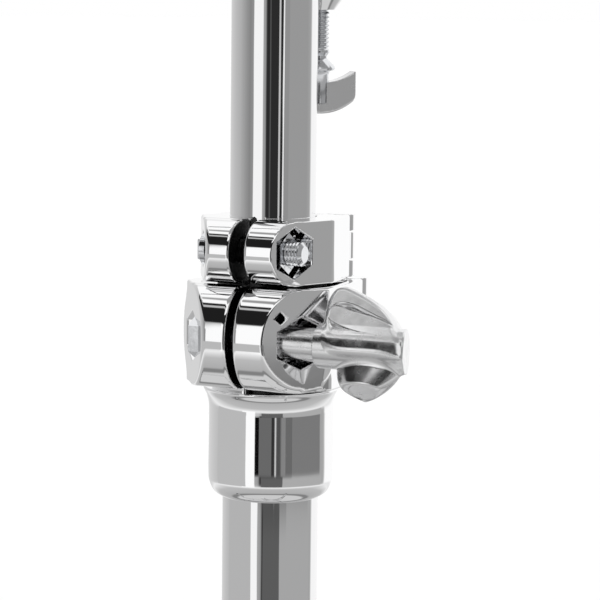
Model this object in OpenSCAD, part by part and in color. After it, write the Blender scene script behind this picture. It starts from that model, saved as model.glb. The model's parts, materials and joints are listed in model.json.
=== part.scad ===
// Snare drum stand: tripod base, hinged height clamp with memory lock, tilter and drum basket.
// Millimetres. Z is up, the feet stand on Z = 0 and the column runs up the Z axis.

/* [Column tubes] */
// Outside diameter of the lower tube
lower_tube_d = 28.6; // [28:0.1:29]
// Outside diameter of the upper tube
upper_tube_d = 25.4; // [25:0.1:25.6]
// Wall thickness of both tubes
tube_wall = 1.2; // [1:0.1:1.3]
// Bottom end of the lower tube above the floor
lower_tube_z = 46; // [40:1:48]
// Bottom end of the upper tube when it is fully lowered
upper_tube_z = 128; // [110:1:140]

/* [Height clamp] */
// Underside of the hinged clamp lugs
clamp_z = 321; // [318:1:324]
// Height of the hinged clamp casting
clamp_h = 29.5; // [28:0.5:31]
// Outer radius of the clamp ring
clamp_ring_r = 18.6; // [18:0.1:19.5]
// Distance of the clamp bolt from the column axis
clamp_bolt_offset = 20.5; // [20:0.1:21.5]
// Width of the clamp slit
clamp_slit = 2; // [1.6:0.1:2.4]
// Direction of both slits, seen from above
slit_turn = -26; // [-32:1:-20]
// Largest opening of a hinged clamp door in degrees, used for the play round its bolt
door_opening = 1.5; // [1:0.5:2]
// Outside radius of the sleeve below the clamp
sleeve_r = 18.6; // [18:0.1:19]
// Height of the sleeve
sleeve_h = 33; // [30:1:36]

/* [Memory lock] */
// Underside of the memory lock ring
lock_z = 352; // [351.5:0.5:354]
// Height of the memory lock ring
lock_h = 18.2; // [17:0.2:20]
// Outer radius of the memory lock ring
lock_ring_r = 17; // [16.5:0.1:18]
// Distance of the memory lock bolt from the column axis
lock_bolt_offset = 17.5; // [17:0.1:18.5]
// Width of the memory lock slit
lock_slit = 3.5; // [3:0.1:4]

/* [Tripod] */
// Direction of the first leg
leg_turn = 67; // [0:1:119]
// Angle of the opened legs below the horizontal
leg_angle = 38; // [36:1:40]
// Height of the lower ends of the leg strips inside the feet
strip_end_z = 12; // [11.5:0.5:13]
// Distance of the leg and brace pivots from the column axis
leg_pivot_r = 26; // [25.5:0.5:27]
// Length of a leg strip from its pivot to the foot
leg_length = 289; // [280:1:292]
// Length of a brace between its pivots, also the place of its joint on the leg
brace_length = 105; // [100:1:108]
// Width of the leg strips
leg_w = 15; // [13:0.5:16]
// Thickness of one leg strip
leg_t = 2.5; // [2:0.1:3]
// Thickness of a brace
brace_t = 5; // [4.5:0.1:5.5]

/* [Tilter and basket] */
// Height of the tilter axis
tilter_z = 466; // [464:1:470]
// Direction of the tilter axis, from the column to the basket hub
tilter_turn = 67; // [60:1:75]
// Distance of the basket spindle from the column axis
hub_offset = 33.7; // [33:0.1:35]
// Height of the basket arm pivots above the tilter axis
arm_pivot_rise = 22; // [21:0.5:24]
// Distance of the arm pivots from the spindle
arm_pivot_r = 20; // [19.5:0.1:20.5]
// Diameter of the basket arm rods
arm_d = 8; // [7:0.5:8.5]
// Distance of the upright arm ends from the spindle
arm_reach = 195; // [180:1:200]
// Slope of the basket arms in degrees
arm_slope = 8; // [6:1:10]
// Diameter of the basket spindle
spindle_d = 8; // [7.6:0.1:8]

/* [Hidden] */
$fn = 48;
// Steel, zinc casting, rubber and nylon colours
chrome = [0.78, 0.79, 0.8];
dark_chrome = [0.6, 0.61, 0.62];
rubber = [0.08, 0.08, 0.08];
nylon = [0.12, 0.12, 0.13];
// Gap between parts that move past each other
play = 0.3;
// Radial play of a running fit
running = 0.05;
// Small overlap that lets a cut pass a face
over = 0.5;
lower_tube_r = lower_tube_d / 2;
lower_tube_bore = lower_tube_r - tube_wall;
upper_tube_r = upper_tube_d / 2;
upper_tube_bore = upper_tube_r - tube_wall;
clamp_top = clamp_z + clamp_h;
lock_top = lock_z + lock_h;
sleeve_top = clamp_z - 1.5;
sleeve_z = sleeve_top - sleeve_h;
lower_tube_top = clamp_z - 3;
bush_r = lower_tube_r - 0.1;
bush_flange_r = clamp_ring_r - 2.4;
door_bore = bush_r + play;
// Each hinge pin stands at the back right of its ring, in slit coordinates
clamp_hinge = [clamp_ring_r - 0.8, clamp_ring_r + 0.1];
lock_hinge = [lock_ring_r - 2.1, lock_ring_r - 0.8];
// Right-hand outlines between the end face and the hinge, as far as they stand outside the ring's radius
clamp_side = [for (p = [[6, -14], [6.3, -10], [6.3, -4], [5.6, 6], [4, 15]]) [clamp_ring_r + p[0], p[1]]];
lock_side = [for (p = [[2.6, -10], [4.6, -6], [4.4, 0], [2.9, 9], [1.6, 14.4]]) [lock_ring_r + p[0], p[1]]];
knuckle_r = 4.5;
lock_knuckle_r = 4;
hinge_pin_r = 1.6;
lock_hinge_pin_r = 1.5;
knuckle_h = 8.5;
lock_knuckle_h = 5;
clamp_bolt_z = clamp_z + clamp_h / 2 - 0.1;
lock_bolt_z = lock_z + lock_h / 2;
clamp_bolt_r = 3;
lock_bolt_r = 3.5;
// Room round a bolt that lets its door swing open by the door opening
bolt_play = 2 * clamp_hinge[0] * sin(door_opening);
clamp_end_slant = 35;
lock_end_slant = 21;
clamp_end_right = 20.1;
clamp_end_left = 15.2;
lock_end_right = 16.1;
lock_end_left = 14.8;
pocket_af = 13;
pocket_floor = 8;
lock_pocket_floor = 10;
socket_floor = 9;
wing_shaft_r = 4.2;
wing_barrel_r = 5.5;
wing_barrel_start = 26;
wing_barrel_end = 51;
wing_turn = 40;
leg_pivot_z = strip_end_z + leg_length * sin(leg_angle);
brace_pivot_z = leg_pivot_z - 2 * brace_length * sin(leg_angle);
pin_r = 3;
rivet_back = 44;
strip_gap = brace_t + 2 * play;
strip_out = strip_gap / 2 + leg_t;
foot_reach = leg_pivot_r + leg_length * cos(leg_angle);
leg_hub_z = leg_pivot_z - 9;
leg_hub_h = 26;
brace_hub_h = 20;
hub_ring_r = lower_tube_r + 3.3;
ear_root_r = lower_tube_r + 0.7;
hub_screw_r = 2.5;
leg_wing_z = leg_pivot_z + 7;
leg_wing_bolt_r = 3;
leg_wing_boss_r = 7.5;
leg_wing_boss_end = hub_ring_r + 7.4;
tilter_disc_r = 13;
arm_pivot_z = tilter_z + arm_pivot_rise;
arm_pin_r = 2;
arm_pin_h = 22;
hub_disc_face = 12.4;
washer_t = 1.2;
tilter_face = hub_disc_face - washer_t;
tilter_bolt_r = 3;
upper_tube_top = tilter_z - tilter_disc_r - 6;
tilter_neck_r = tilter_face - play;
tilter_socket_r = upper_tube_r + 3.5;
tilter_socket_h = 8.5;
spindle_r = spindle_d / 2;
hub_r = 13;
hub_head_r = 24;
hub_head_top = arm_pivot_z + 10;
hub_nose_z = tilter_z - 35.6;
hub_nose_h = 10.8;
hub_flare_h = 7;
hub_flare_z = arm_pivot_z - 17;
spreader_pocket_z = arm_pivot_z - 8.7;
spindle_neck_z = hub_nose_z - 15.4;
handle_z = spindle_neck_z - 17;
groove_h = 5.6;
lever_end_r = 2.5;
lever_reach = 7.5;
spreader_r = 9.3;
root_t = 6;
bend_r = 14;
root_reach = 13;
arm_upright = 18;
arm_bend_x = arm_reach - bend_r * (1 - sin(arm_slope));
arm_bend_z = (arm_bend_x - arm_pivot_r) * tan(arm_slope);
arm_run = (arm_bend_x - arm_pivot_r) / cos(arm_slope);
arm_top = arm_bend_z + bend_r * cos(arm_slope) + arm_upright;
grip_r = 7.2;
grip_lip = 10.5;

// Shared shapes

module ring_of_three() {
    for (turn = [0, 120, 240])
        rotate([0, 0, turn])
            children();
}

module tube(outer_r, inner_r, z, h) {
    translate([0, 0, z])
        rotate_extrude($fn = 72)
            translate([inner_r, 0])
                square([outer_r - inner_r, h]);
}

// Cylinder along X from x0 to x1
module bar_x(r, x0, x1) {
    translate([x0, 0, 0])
        rotate([0, 90, 0])
            cylinder(r = r, h = x1 - x0);
}

// Cylinder along Y, centred
module bar_y(r, h) {
    rotate([90, 0, 0])
        cylinder(r = r, h = h, center = true);
}

// Hexagonal prism along X with two corners up and down
module hex_x(across_flats, x0, x1) {
    translate([x0, 0, 0])
        rotate([0, 90, 0])
            cylinder(r = across_flats / sqrt(3), h = x1 - x0, $fn = 6);
}

// Hinged clamp parts, drawn with the slit along -Y and the bolt along X

// Boss round the bolt: narrow beside the slit and flared at both ends
module clamp_boss(waist_r, end_r, flare, reach) {
    rise = end_r - waist_r;
    run = flare - 6;
    for (side = [-1, 1])
        rotate([0, 90 * side, 0])
            rotate_extrude($fn = 64)
                polygon([[0, 0], [waist_r - 2.2, 0], [waist_r - 1.9, 1], [waist_r - 0.8, 2.2],
                    [waist_r - 0.2, 3.8], [waist_r, 6], [waist_r + 0.15 * rise, 6 + 0.25 * run],
                    [waist_r + 0.45 * rise, 6 + 0.5 * run], [waist_r + 0.8 * rise, 6 + 0.8 * run],
                    [end_r, flare], [end_r, reach], [0, reach]]);
}

// Everything on the far side of a slanted end face
module end_cut(offset, end, slant, side, z, h) {
    translate([side * end, -offset, z - over])
        rotate([0, 0, -side * slant])
            translate([side > 0 ? 0 : -30, -40, 0])
                cube([30, 80, h + 2 * over]);
}

// Outline of a closed clamp from above: ring, web to the boss and hinge arm.
// The side is the right-hand outline between the end face and the hinge.
module clamp_plan(ring_r, offset, hinge, arm_w, side, right) {
    circle(r = ring_r, $fn = 72);
    polygon(concat([[-ring_r - 3, -offset], [right + 10, -offset]], side,
        [[hinge[0], hinge[1]], [0, 0], [-ring_r + 0.6, -4], [-ring_r - 3, -8.5]]));
    rotate([0, 0, atan2(hinge[1], hinge[0])])
        translate([0, -arm_w / 2])
            square([norm(hinge), arm_w]);
}

module clamp_blank(ring_r, z, h, offset, bolt_z, waist_r, flare, hinge, lug_r, side, left, right, slant) {
    shoulder = side[1][0];
    difference() {
        union() {
            translate([0, 0, z])
                linear_extrude(h)
                    clamp_plan(ring_r, offset, hinge, 2 * lug_r - 0.8, side, right);
            intersection() {
                translate([0, -offset, bolt_z])
                    clamp_boss(waist_r, h / 2, flare, 30);
                translate([-40, -offset - 30, z])
                    cube([40 + shoulder, 60, h]);
            }
        }
        end_cut(offset, left, slant, -1, z, h);
        end_cut(offset, right, slant, 1, z, h);
    }
}

// Wedge that the door fills, from the slit to the hinge
module door_wedge(hinge, slit_x, gap, z, h) {
    hinge_turn = atan2(hinge[1], hinge[0]);
    reach = 60;
    translate([0, 0, z])
        linear_extrude(h)
            polygon([[slit_x, -reach], [reach, -reach], [reach, reach * tan(hinge_turn) + gap],
                [slit_x, slit_x * tan(hinge_turn) + gap]]);
}

module knuckle(hinge, r, z, h) {
    translate([hinge[0], hinge[1], z])
        cylinder(r = r, h = h);
}

module lug_holes(offset, bolt_z, r, x0, x1) {
    translate([0, -offset, bolt_z])
        bar_x(r, x0, x1);
}

module main_blank() {
    clamp_blank(clamp_ring_r, clamp_z, clamp_h, clamp_bolt_offset, clamp_bolt_z, 10.8, 20, clamp_hinge,
        knuckle_r, clamp_side, clamp_end_left, clamp_end_right, clamp_end_slant);
}

module lock_blank() {
    clamp_blank(lock_ring_r, lock_z, lock_h, lock_bolt_offset, lock_bolt_z, 7.1, 10.5, lock_hinge,
        lock_knuckle_r, lock_side, lock_end_left, lock_end_right, lock_end_slant);
}

// Column

module lower_tube() {
    color(chrome)
        tube(lower_tube_r, lower_tube_bore, lower_tube_z, lower_tube_top - lower_tube_z);
}

module lower_tube_cap() {
    color(rubber)
        union() {
            translate([0, 0, lower_tube_z - 4])
                cylinder(r1 = lower_tube_r - 2, r2 = lower_tube_r, h = 4, $fn = 72);
            tube(lower_tube_bore, lower_tube_bore - 2, lower_tube_z, 12);
        }
}

module upper_tube() {
    color(chrome)
        tube(upper_tube_r, upper_tube_bore, upper_tube_z, upper_tube_top - upper_tube_z);
}

// Plastic glide pressed into the lower end of the upper tube
module upper_tube_glide() {
    color(nylon)
        union() {
            tube(lower_tube_bore - running, upper_tube_bore - 2, upper_tube_z - 8, 8);
            tube(upper_tube_bore, upper_tube_bore - 2, upper_tube_z - over, 14);
        }
}

// Height clamp

// Casting with the sleeve for the lower tube and the fixed half of the clamp
module clamp_body() {
    color(chrome)
        difference() {
            rotate([0, 0, slit_turn])
                union() {
                    difference() {
                        union() {
                            main_blank();
                            // Neck that carries the fixed half on the sleeve
                            translate([0, 0, sleeve_top - over])
                                cylinder(r = clamp_ring_r - 1, h = 4, $fn = 72);
                        }
                        door_wedge(clamp_hinge, -clamp_slit / 2, 0.6, sleeve_top, clamp_h + 2);
                    }
                    knuckle(clamp_hinge, knuckle_r, clamp_z, knuckle_h);
                    knuckle(clamp_hinge, knuckle_r, clamp_top - knuckle_h, knuckle_h);
                }
            rotate([0, 0, slit_turn]) {
                // Room for the door's middle knuckle
                knuckle(clamp_hinge, knuckle_r + play, clamp_z + knuckle_h, clamp_h - 2 * knuckle_h);
                knuckle(clamp_hinge, hinge_pin_r, clamp_z - over, clamp_h + 2 * over);
                lug_holes(clamp_bolt_offset, clamp_bolt_z, clamp_bolt_r, -30, 5);
                // Pocket for the bolt head
                translate([0, -clamp_bolt_offset, clamp_bolt_z])
                    hex_x(pocket_af, -40, -socket_floor);
            }
            translate([0, 0, clamp_z - 4])
                cylinder(r = bush_r, h = clamp_h + 5, $fn = 72);
            translate([0, 0, sleeve_z])
                cylinder(r = lower_tube_r, h = sleeve_h + 2, $fn = 72);
        }
    color(chrome)
        clamp_sleeve();
}

// Sleeve with a flared rim and a rounded lower edge
module clamp_sleeve() {
    rotate_extrude($fn = 72)
        polygon([[lower_tube_r, sleeve_z], [sleeve_r - 3, sleeve_z], [sleeve_r - 1.4, sleeve_z + 0.6],
            [sleeve_r - 0.4, sleeve_z + 1.8], [sleeve_r, sleeve_z + 3.6], [sleeve_r, sleeve_top - 7.5],
            [sleeve_r + 0.2, sleeve_top - 5], [sleeve_r + 0.7, sleeve_top - 3],
            [sleeve_r + 1.4, sleeve_top - 1.4], [sleeve_r + 1.6, sleeve_top - 0.8],
            [sleeve_r + 1.4, sleeve_top], [lower_tube_r, sleeve_top]]);
}

module clamp_door() {
    color(chrome)
        rotate([0, 0, slit_turn])
            difference() {
                union() {
                    intersection() {
                        main_blank();
                        door_wedge(clamp_hinge, clamp_slit / 2, 0, clamp_z, clamp_h);
                    }
                    knuckle(clamp_hinge, knuckle_r, clamp_z + knuckle_h + play,
                        clamp_h - 2 * knuckle_h - 2 * play);
                }
                translate([0, 0, clamp_z - over])
                    cylinder(r = door_bore, h = clamp_h + 2 * over, $fn = 72);
                knuckle(clamp_hinge, knuckle_r + play, clamp_z - over, knuckle_h + over + play);
                knuckle(clamp_hinge, knuckle_r + play, clamp_top - knuckle_h - play, knuckle_h + play + over);
                knuckle(clamp_hinge, hinge_pin_r + running, clamp_z - over, clamp_h + 2 * over);
                lug_holes(clamp_bolt_offset, clamp_bolt_z, clamp_bolt_r + bolt_play, -5, 40);
                // Pocket for the end of the wing nut
                translate([0, -clamp_bolt_offset, clamp_bolt_z])
                    hex_x(pocket_af, pocket_floor, 60);
                // Small square key notch in the pocket's upper left edge
                translate([pocket_floor + 3, -clamp_bolt_offset - 8.2, clamp_bolt_z + 3.2])
                    cube([30, 4, 3.4]);
            }
}

module clamp_hinge_pin() {
    color(chrome)
        rotate([0, 0, slit_turn])
            knuckle(clamp_hinge, hinge_pin_r, clamp_z, clamp_h);
}

// Split nylon bush with a flange that the memory lock rests on
module clamp_bush() {
    color(nylon)
        difference() {
            union() {
                tube(bush_r, upper_tube_r + running, lower_tube_top, clamp_top - lower_tube_top);
                tube(bush_flange_r, upper_tube_r + running, clamp_top, lock_z - clamp_top);
            }
            rotate([0, 0, slit_turn])
                translate([-clamp_slit / 2, -30, lower_tube_top - over])
                    cube([clamp_slit, 30, clamp_h + 10]);
        }
}

module height_bolt() {
    color(dark_chrome)
        rotate([0, 0, slit_turn])
            translate([0, -clamp_bolt_offset, clamp_bolt_z])
                union() {
                    bar_x(clamp_bolt_r, -socket_floor, 44);
                    hex_x(pocket_af, -socket_floor - 4.6, -socket_floor);
                }
}

// Wing nut drawn along X: shaft, barrel with a domed end and two swept wings
module height_wing_nut() {
    color(chrome)
        rotate([0, 0, slit_turn])
            translate([0, -clamp_bolt_offset, clamp_bolt_z])
                rotate([-wing_turn, 0, 0])
                    difference() {
                        union() {
                            bar_x(wing_shaft_r, pocket_floor + 1.6, wing_barrel_start + over);
                            bar_x(wing_barrel_r, wing_barrel_start, wing_barrel_end);
                            translate([wing_barrel_end, 0, 0])
                                rotate([0, 90, 0])
                                    cylinder(r1 = wing_barrel_r, r2 = 3.4, h = 2);
                            long_wing();
                            short_wing();
                        }
                        bar_x(clamp_bolt_r + running, pocket_floor, 44.5);
                    }
}

// Long wing: broad, thicker at its root, with a raised drop in a sunk field on both faces
module long_wing() {
    difference() {
        rotate([90, 0, 0])
            linear_extrude(8.4, center = true)
                polygon([[27, 0], [26.4, 8], [26.8, 14], [28, 17.4], [30.2, 19.2], [33, 19.2],
                    [37, 16.8], [41.5, 13], [45.6, 8.8], [49, 4.4], [50.6, 0]]);
        for (side = [-1, 1])
            translate([0, side * 3.9, 0])
                rotate([90, 0, 0])
                    linear_extrude(2, center = true)
                        drop_outline(0);
    }
    for (side = [-1, 1])
        translate([0, side * 3.2, 0])
            rotate([90, 0, 0])
                linear_extrude(1.4, center = true)
                    drop_outline(1);
}

module drop_outline(inset) {
    polygon([[28.6 + inset, 7 + inset], [28.4 + inset, 11], [29.4 + inset, 14.2 - inset],
        [31.4, 15.8 - inset], [34, 15.2 - inset], [39, 11.6 - inset], [45 - 3 * inset, 5.6 + inset / 4],
        [38, 6 + inset / 2]]);
}

// Short wing: a waisted stub that ends in a round flat tip
module short_wing() {
    translate([43.2, 0, 0])
        rotate([180, 0, 0])
            cylinder(r1 = 6.4, r2 = 4.7, h = 14.6);
    rotate([90, 0, 0])
        linear_extrude(7, center = true)
            polygon([[31, 0], [33.6, -7], [38.5, -13.2], [48, -13.2], [51, -7], [51, 0]]);
}

// Memory lock

module memory_lock_body() {
    color(chrome)
        rotate([0, 0, slit_turn])
            difference() {
                union() {
                    difference() {
                        lock_blank();
                        door_wedge(lock_hinge, -lock_slit / 2, 0.6, lock_z - over, lock_h + 2 * over);
                    }
                    knuckle(lock_hinge, lock_knuckle_r, lock_z, lock_knuckle_h);
                    knuckle(lock_hinge, lock_knuckle_r, lock_top - lock_knuckle_h, lock_knuckle_h);
                }
                knuckle(lock_hinge, lock_knuckle_r + play, lock_z + lock_knuckle_h,
                    lock_h - 2 * lock_knuckle_h);
                knuckle(lock_hinge, lock_hinge_pin_r, lock_z - over, lock_h + 2 * over);
                translate([0, 0, lock_z - over])
                    cylinder(r = upper_tube_r, h = lock_h + 2 * over, $fn = 72);
                lug_holes(lock_bolt_offset, lock_bolt_z, lock_bolt_r + running, -30, 5);
                // Counterbore for the key head
                lug_holes(lock_bolt_offset, lock_bolt_z, 5.3, -30, -11);
            }
}

module memory_lock_door() {
    color(chrome)
        rotate([0, 0, slit_turn])
            difference() {
                union() {
                    intersection() {
                        lock_blank();
                        door_wedge(lock_hinge, lock_slit / 2, 0, lock_z, lock_h);
                    }
                    knuckle(lock_hinge, lock_knuckle_r, lock_z + lock_knuckle_h + play,
                        lock_h - 2 * lock_knuckle_h - 2 * play);
                }
                translate([0, 0, lock_z - over])
                    cylinder(r = upper_tube_r + play, h = lock_h + 2 * over, $fn = 72);
                knuckle(lock_hinge, lock_knuckle_r + play, lock_z - over, lock_knuckle_h + over + play);
                knuckle(lock_hinge, lock_knuckle_r + play, lock_top - lock_knuckle_h - play,
                    lock_knuckle_h + play + over);
                knuckle(lock_hinge, lock_hinge_pin_r + running, lock_z - over, lock_h + 2 * over);
                lug_holes(lock_bolt_offset, lock_bolt_z, lock_bolt_r + bolt_play, -5, 40);
                translate([0, -lock_bolt_offset, lock_bolt_z])
                    hex_x(pocket_af, lock_pocket_floor, 60);
            }
}

module memory_lock_hinge_pin() {
    color(chrome)
        rotate([0, 0, slit_turn])
            knuckle(lock_hinge, lock_hinge_pin_r, lock_z, lock_h);
}

// Bolt with a round head and a square key end
module memory_lock_bolt() {
    color(dark_chrome)
        rotate([0, 0, slit_turn])
            translate([0, -lock_bolt_offset, lock_bolt_z])
                union() {
                    bar_x(lock_bolt_r, -11, 18.4);
                    translate([18.4, 0, 0])
                        rotate([0, 90, 0])
                            cylinder(r1 = lock_bolt_r, r2 = lock_bolt_r - 0.9, h = 0.8);
                    bar_x(5, -14, -11);
                    translate([-15.6, -3, -3])
                        cube([2, 6, 6]);
                }
}

module memory_lock_nut() {
    color(dark_chrome)
        rotate([0, 0, slit_turn])
            translate([0, -lock_bolt_offset, lock_bolt_z])
                difference() {
                    hex_x(10.4, lock_pocket_floor + 1.4, lock_pocket_floor + 4);
                    bar_x(lock_bolt_r, lock_pocket_floor, lock_pocket_floor + 5);
                }
}

// Tripod

module brace_hub() {
    color(chrome)
        difference() {
            union() {
                translate([0, 0, brace_pivot_z - brace_hub_h / 2])
                    cylinder(r = hub_ring_r, h = brace_hub_h, $fn = 72);
                rotate([0, 0, leg_turn])
                    ring_of_three()
                        for (side = [-1, 1])
                            translate([0, side * (brace_t / 2 + play + 1.4), brace_pivot_z])
                                hub_ear(2.8, 8);
            }
            translate([0, 0, brace_pivot_z - brace_hub_h / 2 - over])
                cylinder(r = lower_tube_r, h = brace_hub_h + 2 * over, $fn = 72);
            rotate([0, 0, leg_turn])
                ring_of_three()
                    translate([leg_pivot_r, 0, brace_pivot_z])
                        bar_y(pin_r, leg_pivot_r);
            rotate([0, 0, leg_turn + 60])
                bar_x_at(hub_screw_r, lower_tube_bore, hub_ring_r + 2, brace_pivot_z);
        }
}

module bar_x_at(r, x0, x1, z) {
    translate([0, 0, z])
        bar_x(r, x0, x1);
}

// One ear of a hub, reaching out from the ring to the pivot
module hub_ear(width, radius) {
    translate([leg_pivot_r, 0, 0])
        bar_y(radius - 1.5, width);
    translate([ear_root_r, -width / 2, 1.5 - radius])
        cube([leg_pivot_r - ear_root_r, width, 2 * radius - 3]);
}

module brace_hub_screw() {
    color(dark_chrome)
        rotate([0, 0, leg_turn + 60])
            bar_x_at(hub_screw_r, lower_tube_r, hub_ring_r + 1, brace_pivot_z);
}

module brace_hub_pins() {
    color(dark_chrome)
        rotate([0, 0, leg_turn])
            ring_of_three()
                translate([leg_pivot_r, 0, brace_pivot_z])
                    union() {
                        bar_y(pin_r, brace_t + 2 * play + 5.6);
                        for (side = [-1, 1])
                            translate([0, side * (brace_t / 2 + play + 3.5), 0])
                                bar_y(4.4, 1.4);
                    }
}

module leg_hub() {
    color(chrome)
        difference() {
            union() {
                translate([0, 0, leg_hub_z])
                    cylinder(r = hub_ring_r, h = leg_hub_h, $fn = 72);
                rotate([0, 0, leg_turn])
                    ring_of_three()
                        translate([0, 0, leg_pivot_z])
                            hub_ear(brace_t, 8.5);
                // Boss for the wing bolt
                rotate([0, 0, leg_turn + 180])
                    bar_x_at(leg_wing_boss_r, ear_root_r, leg_wing_boss_end, leg_wing_z);
            }
            translate([0, 0, leg_hub_z - over])
                cylinder(r = lower_tube_r + running, h = leg_hub_h + 2 * over, $fn = 72);
            rotate([0, 0, leg_turn])
                ring_of_three()
                    translate([leg_pivot_r, 0, leg_pivot_z])
                        bar_y(pin_r, leg_pivot_r);
            rotate([0, 0, leg_turn + 180])
                bar_x_at(leg_wing_bolt_r + running, lower_tube_bore, leg_wing_boss_end + 2, leg_wing_z);
        }
}

module leg_hub_pins() {
    color(dark_chrome)
        rotate([0, 0, leg_turn])
            ring_of_three()
                translate([leg_pivot_r, 0, leg_pivot_z])
                    union() {
                        bar_y(pin_r, 2 * strip_out + 2 * play + 1);
                        for (side = [-1, 1])
                            translate([0, side * (strip_out + play + 0.8), 0])
                                bar_y(4.6, 1.6);
                    }
}

module leg_hub_wing_bolt() {
    color(chrome)
        rotate([0, 0, leg_turn + 180])
            translate([0, 0, leg_wing_z])
                union() {
                    bar_x(leg_wing_bolt_r, lower_tube_r + play, leg_wing_boss_end + 3);
                    bar_x(5, leg_wing_boss_end + 2, leg_wing_boss_end + 17);
                    plain_wings(leg_wing_boss_end + 3, leg_wing_boss_end + 17, 15, 5);
                }
}

// Pair of rounded wings on a barrel along X
module plain_wings(x0, x1, reach, thick) {
    mid = (x0 + x1) / 2 + 2;
    rotate([90, 0, 0])
        linear_extrude(thick, center = true)
            for (side = [-1, 1])
                polygon([[x0, 0], [x0 + 2, side * reach * 0.5], [mid - 3, side * reach * 0.9],
                    [mid, side * reach], [mid + 3.5, side * reach * 0.96], [x1 + 1.5, side * reach * 0.7],
                    [x1 + 1, side * reach * 0.4], [x1, 0]]);
}

// Places a leg part: X runs down the leg from its pivot, Y across it
module on_leg(number) {
    rotate([0, 0, leg_turn + 120 * (number - 1)])
        translate([leg_pivot_r, 0, leg_pivot_z])
            rotate([0, leg_angle, 0])
                children();
}

module leg_strip(side) {
    translate([0, side * (strip_gap / 2 + leg_t / 2), 0])
        rotate([90, 0, 0])
            linear_extrude(leg_t, center = true)
                difference() {
                    union() {
                        circle(r = leg_w / 2);
                        translate([0, -leg_w / 2])
                            square([leg_length - leg_w / 2, leg_w]);
                        translate([leg_length - leg_w / 2, 0])
                            circle(r = leg_w / 2);
                    }
                    circle(r = pin_r + running);
                    translate([brace_length, 0])
                        circle(r = pin_r);
                    translate([leg_length - rivet_back, 0])
                        circle(r = 2);
                }
}

module leg_left(number) {
    color(chrome)
        on_leg(number)
            leg_strip(-1);
}

module leg_right(number) {
    color(chrome)
        on_leg(number)
            leg_strip(1);
}

// Brace rivet in two halves, one in each strip, and the spacer rivet above the foot
module leg_rivets(number) {
    color(dark_chrome)
        on_leg(number) {
            for (side = [-1, 1])
                translate([brace_length, side * (strip_gap / 2), 0])
                    rotate([-90 * side, 0, 0]) {
                        cylinder(r = pin_r, h = leg_t);
                        translate([0, 0, leg_t])
                            cylinder(r1 = 5, r2 = 3.6, h = 1.6);
                    }
            translate([leg_length - rivet_back, 0, 0]) {
                bar_y(2, 2 * strip_out);
                bar_y(4, strip_gap);
                for (side = [-1, 1])
                    translate([0, side * (strip_out + 0.6), 0])
                        bar_y(3.6, 1.2);
            }
        }
}

// Rubber foot moulded round the two strip ends
module foot(number) {
    color(rubber)
        difference() {
            rotate([0, 0, leg_turn + 120 * (number - 1)])
                translate([foot_reach, 0, 0])
                    foot_shape();
            on_leg(number)
                for (side = [-1, 1])
                    leg_strip_solid(side);
        }
}

module leg_strip_solid(side) {
    translate([0, side * (strip_gap / 2 + leg_t / 2), 0])
        rotate([90, 0, 0])
            linear_extrude(leg_t, center = true)
                union() {
                    translate([leg_length / 2, -leg_w / 2])
                        square([leg_length / 2 - leg_w / 2, leg_w]);
                    translate([leg_length - leg_w / 2, 0])
                        circle(r = leg_w / 2);
                }
}

module foot_shape() {
    rotate_extrude($fn = 48)
        polygon([[0, 0], [14, 0], [15, 1.2], [15, 6], [14, 7.4], [13, 12], [11.8, 18], [10.6, 22],
            [8.6, 24.6], [6, 26], [0, 26.4]]);
    translate([-3, 0, 13])
        rotate([0, leg_angle - 90, 0])
            cylinder(r1 = 11.4, r2 = 10, h = 20);
}

// Brace drawn along X from its hub pivot, with an eye at each end
module brace(number) {
    color(chrome)
        rotate([0, 0, leg_turn + 120 * (number - 1)])
            translate([leg_pivot_r, 0, brace_pivot_z])
                rotate([0, -leg_angle, 0])
                    rotate([90, 0, 0])
                        linear_extrude(brace_t, center = true)
                            difference() {
                                union() {
                                    circle(r = 6.5);
                                    translate([0, -5])
                                        square([brace_length, 10]);
                                    translate([brace_length, 0])
                                        circle(r = 6.5);
                                }
                                circle(r = pin_r + running);
                                translate([brace_length, 0])
                                    circle(r = pin_r);
                            }
}

// Tilter, drawn with the tilter axis along X

module at_tilter() {
    rotate([0, 0, tilter_turn])
        translate([0, 0, tilter_z])
            children();
}

module tilter_body() {
    color(chrome)
        difference() {
            union() {
                translate([0, 0, upper_tube_top - tilter_socket_h])
                    cylinder(r = tilter_socket_r, h = tilter_socket_h, $fn = 72);
                translate([0, 0, upper_tube_top])
                    cylinder(r1 = tilter_socket_r, r2 = tilter_neck_r, h = 5.4, $fn = 72);
                translate([0, 0, upper_tube_top + 5])
                    cylinder(r = tilter_neck_r, h = tilter_disc_r + 1, $fn = 72);
                at_tilter() {
                    bar_x(tilter_disc_r - 1, -12, 6);
                    translate([3, 0, 0])
                        rotate([0, 90, 0])
                            cylinder(r1 = tilter_disc_r - 1, r2 = tilter_disc_r, h = 3);
                    bar_x(tilter_disc_r, 6, tilter_face);
                    bar_x(7, -14.5, -11);
                }
            }
            translate([0, 0, upper_tube_top - tilter_socket_h - over])
                cylinder(r = upper_tube_r, h = tilter_socket_h + over, $fn = 72);
            at_tilter()
                bar_x(tilter_bolt_r + running, -20, 20);
        }
}

module tilter_washer() {
    color(nylon)
        at_tilter()
            difference() {
                bar_x(tilter_disc_r - 1, tilter_face, hub_disc_face);
                bar_x(tilter_bolt_r + running, tilter_face - 1, hub_disc_face + 1);
            }
}

// Stud fixed in the basket hub
module tilter_bolt() {
    color(dark_chrome)
        at_tilter()
            bar_x(tilter_bolt_r, -32, hub_offset - spindle_r - 4);
}

module tilter_wing_nut() {
    color(chrome)
        at_tilter()
            difference() {
                union() {
                    bar_x(7, -20, -14.5 - play);
                    bar_x(5.5, -38, -19.5);
                    mirror([1, 0, 0])
                        plain_wings(20, 36, 18, 6);
                }
                bar_x(tilter_bolt_r + running, -33, -10);
            }
}

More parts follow.
